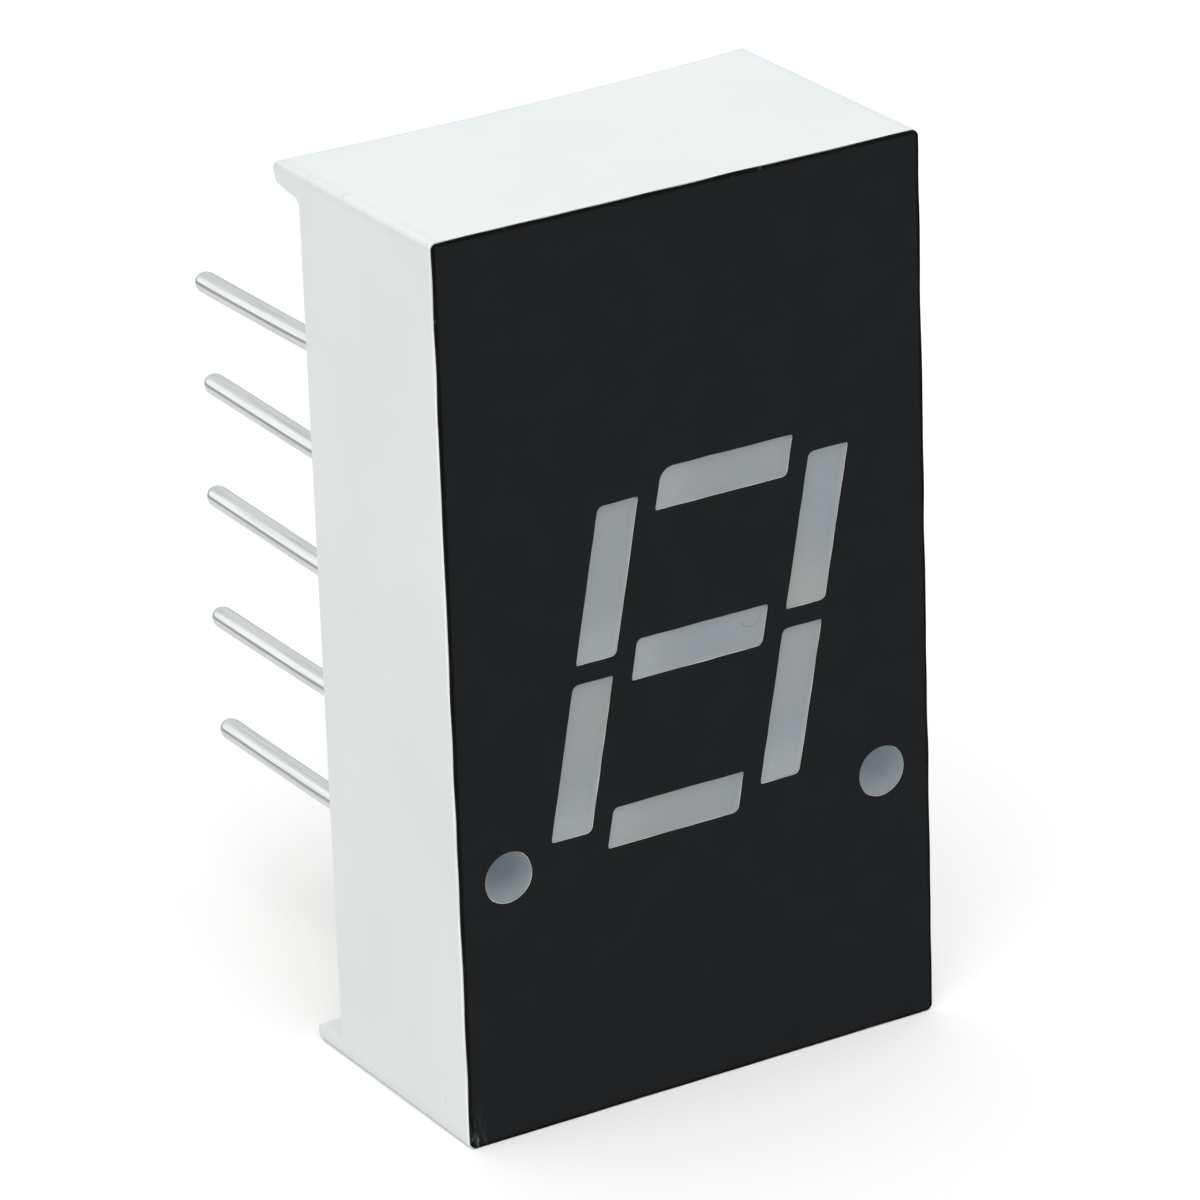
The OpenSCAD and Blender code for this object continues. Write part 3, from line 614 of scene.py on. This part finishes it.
def makeFaceLayer():
    shape = wholeShape("face_mask")
    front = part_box("face_mask")[0].y
    step, rim, short = [inkEdge[name] * mm for name in ("stepMm", "rimMm", "shortMm")]
    bmesh.ops.triangulate(shape, faces=[f for f in shape.faces if abs(f.normal.y) > inkEdge["broadFrom"]])
    outline = [e for e in sharpEdges(shape, inkEdge["overDegrees"], lambda at: True)
               if abs(e.verts[0].co.y - e.verts[1].co.y) < weld]
    for cuts in range(1, 1 + int(max(e.calc_length() for e in outline) / step)):
        fitting = [e for e in outline if round(e.calc_length() / step) == cuts + 1]
        if fitting:
            bmesh.ops.subdivide_edges(shape, edges=fitting, cuts=cuts)
    shape.normal_update()
    noise.seed_set(inkEdge["seed"])
    for vert in shape.verts:
        at = vert.co
        outer = abs(at.x) > halfWidth - rim or abs(at.z) > halfHeight - rim
        over = inkEdge["wanderOverMm" if outer else "windowWanderOverMm"] * mm
        reach = inkEdge["wanderMm" if outer else "windowWanderMm"] * mm
        sway = noise.noise_vector(Vector((at.x, 0, at.z)) / over)
        at.x += reach * sway.x
        at.z += reach * sway.z
        if outer:
            at.x = max(-halfWidth, min(halfWidth, at.x * (1 - short / halfWidth)))
            at.z = max(-halfHeight, min(halfHeight, at.z * (1 - short / halfHeight)))
        else:
            at += Vector((vert.normal.x, 0, vert.normal.z)).normalized() * inkEdge["windowOverMm"] * mm
    edges = sharpEdges(shape, inkEdge["overDegrees"], lambda at: at.y < front + hair)
    roundOff(shape, edges, inkEdge["radiusMm"], inkEdge["rounds"])
    return asPiece(shape, "faceLayer", blackInk, ["face_mask"])


# The potting, which crept up into a small meniscus round each pin as it set. Its hidden surfaces
# stand a little off their neighbours, so that no two faces share one plane
pottingSkin = {
    "gapMm": 0.01,
    "besidePinMm": 0.4,    # edges this near to a pin's axis are the rim of its hole
    # rings round each pin as (radius, rise)
    "meniscusMm": ((0.235, 0.12), (0.26, 0.078), (0.3, 0.044), (0.36, 0.019), (0.44, 0.006), (0.56, 0.0)),
}


def makePotting():
    shape = wholeShape("back_potting")
    shape.normal_update()
    hidden = backPlane - hair
    for vert in shape.verts:
        if vert.co.y < hidden:
            vert.co -= vert.normal * pottingSkin["gapMm"] * mm
    shown = [f for f in shape.faces if all(v.co.y > hidden for v in f.verts)]
    bmesh.ops.delete(shape, geom=shown, context="FACES")
    outline, rims = [], {}
    pitch, rowPlace = pinRow["pitchMm"] * mm, pinRow["rowGapMm"] / 2 * mm
    for edge in [e for e in shape.edges if e.is_boundary]:
        at = edge.verts[0].co
        axis = Vector((math.copysign(rowPlace, at.x), backPlane, round(at.z / pitch) * pitch)).freeze()
        if (at - axis).length < pottingSkin["besidePinMm"] * mm:
            rims.setdefault(axis, set()).update(edge.verts)
        else:
            outline.append(edge)
    for axis, rim in rims.items():
        last = sorted(rim, key=lambda v: math.atan2(v.co.z - axis.z, v.co.x - axis.x))
        ways = [(v.co - axis).normalized() for v in last]
        for radius, rise in pottingSkin["meniscusMm"]:
            places = [axis + (way * radius + Vector((0, rise, 0))) * mm for way in ways]
            if radius == pottingSkin["meniscusMm"][0][0]:
                for vert, place in zip(last, places):
                    vert.co = place
                continue
            made = [shape.verts.new(place) for place in places]
            for i in range(len(made)):
                shape.faces.new((last[i], last[i - 1], made[i - 1], made[i]))
            last = made
        outline += [shape.edges.get((last[i], last[i - 1])) for i in range(len(last))]
    bmesh.ops.triangle_fill(shape, use_beauty=True, use_dissolve=False, edges=outline, normal=(0, 1, 0))
    bmesh.ops.recalc_face_normals(shape, faces=shape.faces)
    return asPiece(shape, "potting", clearResin, ["back_potting"])


# A cast light: its front sinks a little from the rim, because the epoxy shrinks as it sets
castFront = {
    "sinkMm": 0.014, "reachMm": 0.09, "ringsMm": (0.012, 0.03, 0.055, 0.09, 0.14, 0.21, 0.3, 0.4),
    "ringsWithin": 0.94,   # share of the half width beyond which no ring is made
    # how near to the housing's front and how square to it the front of a light is
    "withinMm": 0.01, "squareFrom": 0.999,
}


def makeCastLight(nodeName, finish):
    shape = wholeShape(nodeName)
    fronts = [f for f in shape.faces if f.normal.y < -castFront["squareFrom"]
              and f.calc_center_median().y < facePlane + castFront["withinMm"] * mm]
    if len(fronts) > 1:
        fronts = bmesh.ops.dissolve_faces(shape, faces=fronts)["region"]
    front = fronts[0]
    ring = [v.co.copy() for v in front.verts]
    centre = sum(ring, Vector()) / len(ring)
    level = nodeName.startswith("point")
    tilt = 0 if level else lean
    # the outline in level and leaning directions from its middle
    flat = [((p.x - centre.x) - tilt * (p.z - centre.z), p.z - centre.z) for p in ring]
    halfU, halfV = max(abs(u) for u, v in flat), max(abs(v) for u, v in flat)
    inWindow = shape.verts.layers.float_vector.new("inWindow")
    fromRim = shape.verts.layers.float.new("fromRim")

    def mark(vert, u, v, inset):
        foot = -v / halfV if halfV > halfU else -u / halfU
        vert[inWindow], vert[fromRim] = Vector((u / halfU, v / halfV, foot)), inset / mm

    last = list(front.verts)
    for vert, (u, v) in zip(last, flat):
        mark(vert, u, v, 0)
    bmesh.ops.delete(shape, geom=[front], context="FACES_ONLY")
    for inset in castFront["ringsMm"]:
        inset *= mm
        if inset > castFront["ringsWithin"] * min(halfU, halfV):
            break
        sink = castFront["sinkMm"] * mm * (1 - math.exp(-inset / (castFront["reachMm"] * mm)))
        made = []
        for u, v in flat:
            u, v = u * (1 - inset / halfU), v * (1 - inset / halfV)
            made.append(shape.verts.new((centre.x + u + tilt * v, facePlane + sink, centre.z + v)))
            mark(made[-1], u, v, inset)
        for i in range(len(made)):
            j = (i + 1) % len(made)
            shape.faces.new((last[i], last[j], made[j], made[i]))
        last = made
    shape.faces.new(last)
    bmesh.ops.recalc_face_normals(shape, faces=shape.faces)
    return asPiece(shape, nodeName.replace("_", "-") + "-cast", finish, [nodeName])


# The pins: one profile turned into a round bar and repeated over the two rows
pinRow = {
    "pitchMm": 2.54, "rowGapMm": 7.62, "perRow": 5, "sides": 40, "diameterMm": 0.46, "tipMm": 0.3,
    "swellMm": 0.06, "headMm": 0.15, "headEdgeMm": 0.02, "lipShare": 0.1, "tipSteps": 8, "shaftSteps": 10,
    "sharpDegrees": 40,
    # how closely the bend keeps to the root, and the share of the length from which a pin is cut short
    "bendPower": 6, "cutFrom": 0.9,
    # handling has pressed each pin down a little behind the housing: left and right row, lowest first
    "pressedMm": {-1: (0.229, 0.238, 0.155, 0.155, 0.297), 1: (0.05, 0.12, 0.02, 0.09, 0.04)},
    # how much further down its tip hangs, and how much short of the full length it is cut
    "tiltMm": {-1: (0.0, 0.012, -0.12, -0.12, 0.092), 1: (0.02, -0.03, 0.04, 0.0, -0.02)},
    "cutShortMm": {-1: (0.1, 0.02, 0.1, 0.26, 0.12), 1: (0.0, 0.08, 0.04, 0.11, 0.06)},
}


# Stations along a pin as (place along Y, radius), from the head's middle to the tip
def pinProfile():
    low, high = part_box("pin_1")
    headRadius = (high.x - low.x) / 2
    radius = pinRow["diameterMm"] / 2 * mm
    swollen = radius + pinRow["swellMm"] / 2 * mm
    edge = pinRow["headEdgeMm"] * mm
    lip = edge * pinRow["lipShare"]
    headBack = low.y + pinRow["headMm"] * mm
    tipStart = high.y - pinRow["tipMm"] * mm
    stations = [
        (low.y, 0.0), (low.y + lip, headRadius - edge), (low.y + edge, headRadius),
        (headBack - lip, headRadius), (headBack, swollen),
    ]
    steps = pinRow["shaftSteps"]
    stations += [(backPlane + (tipStart - backPlane) * (i / steps) ** 2, radius) for i in range(steps)]
    steps = pinRow["tipSteps"]
    for i in range(steps):
        turn = math.pi / 2 * i / steps
        stations.append((tipStart + (high.y - tipStart) * math.sin(turn), radius * math.cos(turn)))
    return stations + [(high.y, 0.0)]


def pinTree():
    tree = bpy.data.node_groups.new("pinField", "GeometryNodeTree")
    face = tree.interface
    face.new_socket("Geometry", in_out="INPUT", socket_type="NodeSocketGeometry")
    for name, kind in (("Pitch", "NodeSocketFloat"), ("Row gap", "NodeSocketFloat"),
                       ("Pins in a row", "NodeSocketInt"), ("Sides", "NodeSocketInt"),
                       ("Finish", "NodeSocketMaterial")):
        face.new_socket(name, in_out="INPUT", socket_type=kind)
    face.new_socket("Geometry", in_out="OUTPUT", socket_type="NodeSocketGeometry")
    given = addNode(tree, "NodeGroupInput").outputs
    line = addNode(tree, "GeometryNodeMeshToCurve", links={"Mesh": given["Geometry"]})
    width = addNode(tree, "GeometryNodeInputNamedAttribute", {"data_type": "FLOAT"}, {"Name": "turnedRadius"})
    ring = addNode(tree, "GeometryNodeCurvePrimitiveCircle", None, {"Radius": 1.0},
                   {"Resolution": given["Sides"]})
    bar = addNode(tree, "GeometryNodeCurveToMesh", None, None,
                  {"Curve": line.outputs[0], "Profile Curve": ring.outputs[0], "Scale": width.outputs[0]})
    closed = addNode(tree, "GeometryNodeMergeByDistance", None, {"Distance": weld},
                     {"Geometry": bar.outputs[0]})
    gaps = addNode(tree, "ShaderNodeMath", {"operation": "SUBTRACT"}, {1: 1.0}, {0: given["Pins in a row"]})
    tall = addNode(tree, "ShaderNodeMath", {"operation": "MULTIPLY"}, None,
                   {0: gaps.outputs[0], 1: given["Pitch"]})
    grid = addNode(tree, "GeometryNodeMeshGrid", None, {"Vertices X": 2},
                   {"Size X": given["Row gap"], "Size Y": tall.outputs[0],
                    "Vertices Y": given["Pins in a row"]})
    upright = addNode(tree, "GeometryNodeTransform", None, {"Rotation": (math.pi / 2, 0, 0)},
                      {"Geometry": grid.outputs[0]})
    field = addNode(tree, "GeometryNodeInstanceOnPoints", None, None,
                    {"Points": upright.outputs[0], "Instance": closed.outputs[0]})
    real = addNode(tree, "GeometryNodeRealizeInstances", links={"Geometry": field.outputs[0]})
    smooth = addNode(tree, "GeometryNodeSetShadeSmooth", links={"Geometry": real.outputs[0]})
    tinned = addNode(tree, "GeometryNodeSetMaterial",
                     links={"Geometry": smooth.outputs[0], "Material": given["Finish"]})
    addNode(tree, "NodeGroupOutput", links={"Geometry": tinned.outputs[0]})
    return tree


# Each pin bends down most near its root, runs on nearly straight from there, and is cut at its own
# length
def pressPins(shape):
    root = backPlane + pottingSkin["meniscusMm"][0][1] * mm
    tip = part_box("pin_1")[1].y
    for vert in shape.verts:
        free = (vert.co.y - root) / (tip - root)
        if free > 0:
            row = 1 if vert.co.x > 0 else -1
            number = round(vert.co.z / (pinRow["pitchMm"] * mm)) + pinRow["perRow"] // 2
            down = pinRow["pressedMm"][row][number] + pinRow["tiltMm"][row][number] * free
            vert.co.z -= down * mm * (1 - (1 - free) ** pinRow["bendPower"])
            vert.co.y -= pinRow["cutShortMm"][row][number] * mm * min(1, free / pinRow["cutFrom"])


def makePins():
    stations = pinProfile()
    mesh = bpy.data.meshes.new("pins")
    mesh.from_pydata([(0, y, 0) for y, r in stations], [(i, i + 1) for i in range(len(stations) - 1)], [])
    turned = mesh.attributes.new("turnedRadius", "FLOAT", "POINT")
    turned.data.foreach_set("value", [r for y, r in stations])
    pins = bpy.data.objects.new("pins", mesh)
    scene.collection.objects.link(pins)
    tree = pinTree()
    modifier = pins.modifiers.new("pinField", "NODES")
    modifier.node_group = tree
    sockets = {s.name: s.identifier for s in tree.interface.items_tree if s.in_out == "INPUT"}
    for name, value in (("Pitch", pinRow["pitchMm"] * mm), ("Row gap", pinRow["rowGapMm"] * mm),
                        ("Pins in a row", pinRow["perRow"]), ("Sides", pinRow["sides"]),
                        ("Finish", pinTin)):
        modifier[sockets[name]] = value
    graph = bpy.context.evaluated_depsgraph_get()
    solid = bpy.data.meshes.new_from_object(pins.evaluated_get(graph), depsgraph=graph)
    pins.modifiers.clear()
    pins.data = solid
    shape = bmesh.new()
    shape.from_mesh(solid)
    bmesh.ops.recalc_face_normals(shape, faces=shape.faces)
    pressPins(shape)
    shape.to_mesh(solid)
    shape.free()
    solid.set_sharp_from_angle(angle=math.radians(pinRow["sharpDegrees"]))
    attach(pins, "root")
    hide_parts(*["pin_%d" % n for n in range(1, 2 * pinRow["perRow"] + 1)])
    return pins


makeHousing()
makeFaceLayer()
print("housing and face layer made")
for name in lights:
    makeCastLight(name, pointEpoxy.get(name, barEpoxy))
print("cast lights made:", len(lights))
pins = makePins()
print("pins made:", len(pins.data.polygons), "faces")
makePotting()
asPiece(wholeShape("circuit_board"), "board", boardGlass, ["circuit_board"])
print("potting and board made")


def refinish(nodeName, finish):
    cadNodes[nodeName].data.materials.clear()
    cadNodes[nodeName].data.materials.append(finish)


for name, (dark, light, driftMm, roughness, metal, starts) in innerFinishes.items():
    finish = innerFinish(name, dark, light, driftMm, roughness, metal)
    for nodeName in cadNodes:
        if any(nodeName.startswith(s) for s in starts):
            refinish(nodeName, finish)
print("inner pieces finished")


studio = {
    "eyeMm": (-68.83, -118.40, 56.28), "aimMm": (-2.0785, -6.0836, 1.439), "rollDegrees": -2.031,
    "lensMm": 218.98, "sensorMm": 36, "clipMm": (1, 10000),
    "skyStrength": 0.70, "floorColour": "#E6E6E6", "floorHalfMm": 900,
    # what metal sees: white to the left, grey to the right, a dark band along the horizon and pale
    # ground below
    "greySide": 0.69, "whiteFrom": -0.11, "whiteTo": -0.45, "ground": 0.73,
    "band": 0.37, "bandTop": -0.035, "bandFoot": -0.3, "bandSoft": 0.07,
    "highTint": "#FCFFFF", "lowTint": "#FFFFFC",
    # lamps as (direction to the lamp, strength, angle in degrees)
    "lamps": {"topBox": ((-0.31, -0.414, 0.855), 1.52, 60)},
}


def makeCamera():
    eye, aim = Vector(studio["eyeMm"]) * mm, Vector(studio["aimMm"]) * mm
    forward = (aim - eye).normalized()
    level = forward.cross(Vector((0, 0, 1))).normalized()
    rise = level.cross(forward)
    roll = math.radians(studio["rollDegrees"])
    right = level * math.cos(roll) + rise * math.sin(roll)
    up = rise * math.cos(roll) - level * math.sin(roll)
    turn = Matrix((right, up, -forward)).transposed()
    lens = bpy.data.cameras.new("camera")
    lens.lens, lens.sensor_width = studio["lensMm"], studio["sensorMm"]
    lens.clip_start, lens.clip_end = [reach * mm for reach in studio["clipMm"]]
    camera = bpy.data.objects.new("camera", lens)
    camera.matrix_world = Matrix.Translation(eye) @ turn.to_4x4()
    scene.collection.objects.link(camera)
    scene.camera = camera


# 1 where the tent is looked at, straight or through the resin, and 0 where it only gives light
def tentSeen(tree, path):
    seen = addNode(tree, "ShaderNodeMath", {"operation": "MAXIMUM"}, None,
                   {0: path["Is Camera Ray"], 1: path["Is Transmission Ray"]})
    return seen.outputs[0]


def makeSky():
    sky = bpy.data.worlds.new("whiteTent")
    scene.world = sky
    sky.use_nodes = True
    tree = sky.node_tree
    tree.nodes.clear()
    path = addNode(tree, "ShaderNodeLightPath").outputs
    toSky = addNode(tree, "ShaderNodeTexCoord").outputs["Generated"]
    way = addNode(tree, "ShaderNodeSeparateXYZ", links={"Vector": toSky})
    sideways = addNode(tree, "ShaderNodeMapRange", {"interpolation_type": "SMOOTHSTEP"},
                       {"From Min": studio["whiteFrom"], "From Max": studio["whiteTo"],
                        "To Min": studio["greySide"], "To Max": 1.0},
                       {"Value": way.outputs["X"]})
    soft = studio["bandSoft"]
    above, below = [addNode(tree, "ShaderNodeMapRange", {"interpolation_type": "SMOOTHSTEP"},
                            {"From Min": edge - turn * soft, "From Max": edge + turn * soft},
                            {"Value": way.outputs["Z"]})
                    for edge, turn in ((studio["bandTop"], 1), (studio["bandFoot"], -1))]
    skyline = addNode(tree, "ShaderNodeMix", None, {2: studio["band"]},
                      {0: above.outputs[0], 3: sideways.outputs[0]})
    mirrored = addNode(tree, "ShaderNodeMix", None, {3: studio["ground"]},
                       {0: below.outputs[0], 2: skyline.outputs[0]})
    lit = addNode(tree, "ShaderNodeMix", None, {2: studio["skyStrength"], 3: 1.0}, {0: tentSeen(tree, path)})
    level = addNode(tree, "ShaderNodeMix", None, None,
                    {0: path["Is Glossy Ray"], 2: lit.outputs[0], 3: mirrored.outputs[0]})
    tint = addNode(tree, "ShaderNodeMix", {"data_type": "RGBA"},
                   {6: linearColour(studio["highTint"]), 7: linearColour(studio["lowTint"])},
                   {0: below.outputs[0]})
    shade = addNode(tree, "ShaderNodeMix", {"data_type": "RGBA"}, {6: linearColour("#FFFFFF")},
                    {0: path["Is Glossy Ray"], 7: tint.outputs[2]})
    light = addNode(tree, "ShaderNodeBackground",
                    links={"Color": shade.outputs[2], "Strength": level.outputs[0]})
    addNode(tree, "ShaderNodeOutputWorld", links={"Surface": light.outputs[0]})


def makeFloor():
    half = studio["floorHalfMm"] * mm
    mesh = bpy.data.meshes.new("floor")
    corners = [(x * half, y * half, -halfHeight) for x, y in ((-1, -1), (1, -1), (1, 1), (-1, 1))]
    mesh.from_pydata(corners, [], [(0, 1, 2, 3)])
    paper, tree, shader = startFinish("paperFloorPlain", Roughness=0.9, Specular_IOR_Level=0.0)[:3]
    seen = tentSeen(tree, addNode(tree, "ShaderNodeLightPath").outputs)
    tint = addNode(tree, "ShaderNodeMix", {"data_type": "RGBA"},
                   {6: linearColour(studio["floorColour"]), 7: linearColour("#FFFFFF")}, {0: seen})
    tree.links.new(tint.outputs[2], shader.inputs["Base Color"])
    mesh.materials.append(paper)
    floor = bpy.data.objects.new("floor", mesh)
    scene.collection.objects.link(floor)
    floor.visible_glossy = False        # metal sees the tent's own ground instead


def makeLamps():
    for name, (toLamp, strength, angle) in studio["lamps"].items():
        lamp = bpy.data.lights.new(name, "SUN")
        lamp.energy, lamp.angle = strength, math.radians(angle)
        holder = bpy.data.objects.new(name, lamp)
        holder.rotation_euler = Vector(toLamp).to_track_quat("Z", "Y").to_euler()
        scene.collection.objects.link(holder)


makeCamera()
makeSky()
makeFloor()
makeLamps()
scene.view_settings.view_transform = "Standard"
print("studio set")
